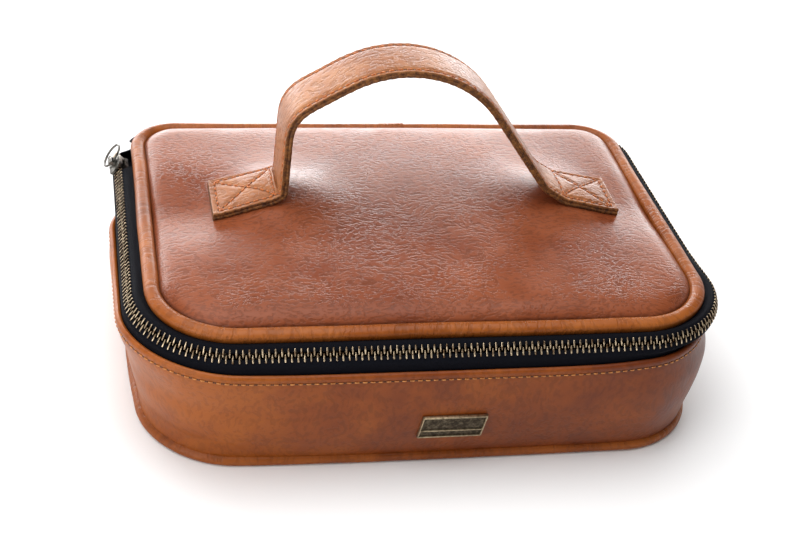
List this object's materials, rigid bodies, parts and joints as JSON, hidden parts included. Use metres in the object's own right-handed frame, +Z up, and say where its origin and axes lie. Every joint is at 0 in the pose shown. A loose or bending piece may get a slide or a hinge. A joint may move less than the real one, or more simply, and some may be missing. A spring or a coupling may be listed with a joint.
{
  "type": "leather jewellery case",
  "caption": "Soft-cornered leather jewellery case with a padded hinged lid, a metal zip round three sides, an arched carrying strap and a divided tray inside.",
  "frame": {"origin": "centre of the flat bottom face, where the case rests on a table", "axes": "+Z up, -Y towards the front with the plain badge, +Y towards the leather hinge, +X to the right along the long side"},
  "size_m": [0.255, 0.1882, 0.1355],
  "materials": {
    "tan_leather": "smooth, slightly glossy full-grain leather",
    "wall_leather": "smooth full-grain leather",
    "piping_leather": "smooth leather over a cord",
    "zip_tape": "dark woven tape",
    "antique_brass": "antique brass",
    "board": "plain grey board",
    "foam": "soft foam",
    "lining": "short-pile suede cloth"
  },
  "bodies": {
    "base": {"base_bottom_panel": "wall_leather", "base_board": "board", "base_welt": "wall_leather", "wall_leather": "wall_leather", "wall_stiffener": "board", "wall_lining": "lining", "floor_pad": "lining", "zip_tape_lower": "zip_tape", "zip_teeth_lower": "antique_brass", "zip_end_stops": "antique_brass", "hinge_leather_lower": "wall_leather", "badge_plate": "antique_brass", "long_divider": "lining", "back_divider_left": "lining", "back_divider_right": "lining", "front_divider_left": "lining", "front_divider_right": "lining", "ring_rolls": "lining"},
    "lid": {"lid_top_panel": "tan_leather", "lid_padding": "foam", "lid_board": "board", "lid_lining": "lining", "lid_piping": "piping_leather", "lid_pocket": "lining", "lid_pocket_binding": "lining", "zip_tape_upper": "zip_tape", "zip_teeth_upper": "antique_brass", "hinge_leather_upper": "wall_leather", "handle_lining_strap": "tan_leather", "handle_top_strap": "tan_leather"},
    "slider": {"zip_slider": "antique_brass"},
    "ring": {"pull_ring": "antique_brass"}
  },
  "joints": [
    {"name": "lid_hinge", "type": "hinge", "parent": "base", "child": "lid", "pos_m": [0, 0.08893, 0.05543], "axis": [-1, 0, 0], "range_deg": [0, 150]},
    {"name": "zip_slide", "type": "slide", "parent": "base", "child": "slider", "axis": [0, 1, 0], "range_m": [0, 0.005]},
    {"name": "ring_swing", "type": "hinge", "parent": "slider", "child": "ring", "pos_m": [-0.12443, 0.056, 0.05718], "axis": [0.5736, 0, 0.8192], "range_deg": [0, 170]}
  ]
}
